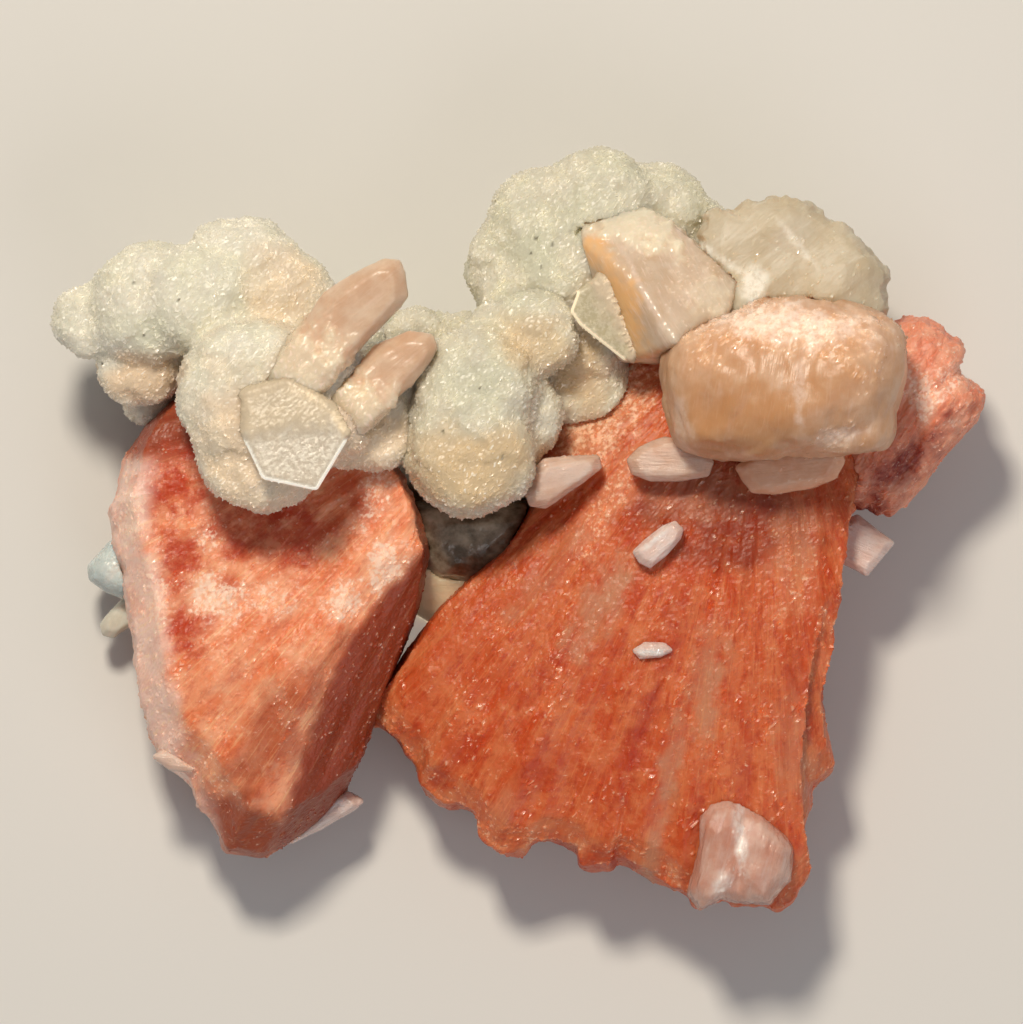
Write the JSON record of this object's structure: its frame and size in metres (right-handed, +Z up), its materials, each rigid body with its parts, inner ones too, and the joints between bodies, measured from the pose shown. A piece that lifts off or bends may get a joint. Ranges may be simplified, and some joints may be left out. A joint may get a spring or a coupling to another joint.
{
  "type": "zeolite crystal cluster",
  "caption": "Mineral specimen: salmon heulandite fans, peach and white stilbite sheaves and blades, and round sparkling pale druse, lying on its flat broken back",
  "frame": {"origin": "on the resting plane, under the centre of the bounding box", "axes": "+Z up, away from the flat break that the cluster lies on; +X to the right and +Y to the far side, the druse's side, for someone who looks down with the fans' tips towards them"},
  "size_m": [0.1116, 0.0914, 0.0407],
  "materials": {
    "salmon_heulandite": "translucent granular fibres, glittering, with red blotches and pale margins",
    "peach_stilbite": "waxy, translucent, finely ribbed",
    "white_stilbite": "glossy, translucent, pearly",
    "clear_heulandite": "clear, polished by growth, bright chamfered edge",
    "pale_druse": "sparkling, translucent, covered in tiny crystals",
    "blue_grey_crystal": "glossy, smoky",
    "beige_crystal": "satin",
    "grey_green_crust": "rough, matt"
  },
  "bodies": {
    "root": {"heulandite_fan_right": "salmon_heulandite", "heulandite_fan_left": "salmon_heulandite", "heulandite_wing": "salmon_heulandite", "stilbite_loaf": "peach_stilbite", "stilbite_blade_top": "peach_stilbite", "stilbite_fan_pale": "white_stilbite", "stilbite_sheaf_lower": "white_stilbite", "clear_plate_left": "clear_heulandite", "clear_plate_top": "clear_heulandite", "stilbite_blade_upper_left": "peach_stilbite", "stilbite_blade_left": "peach_stilbite", "stilbite_tab_centre": "peach_stilbite", "stilbite_tongue": "peach_stilbite", "stilbite_lip": "peach_stilbite", "stilbite_crystal_upper": "white_stilbite", "stilbite_crystal_lower": "white_stilbite", "stilbite_blade_foot": "white_stilbite", "stilbite_flake": "white_stilbite", "stilbite_prism_right": "white_stilbite", "druse_left": "pale_druse", "druse_top": "pale_druse", "druse_centre": "pale_druse", "smoky_crystal": "blue_grey_crystal", "blue_grey_crystal": "blue_grey_crystal", "beige_crystal": "beige_crystal", "beige_blade_left": "beige_crystal", "white_crystal": "white_stilbite", "matrix_crust": "grey_green_crust"}
  },
  "joints": []
}
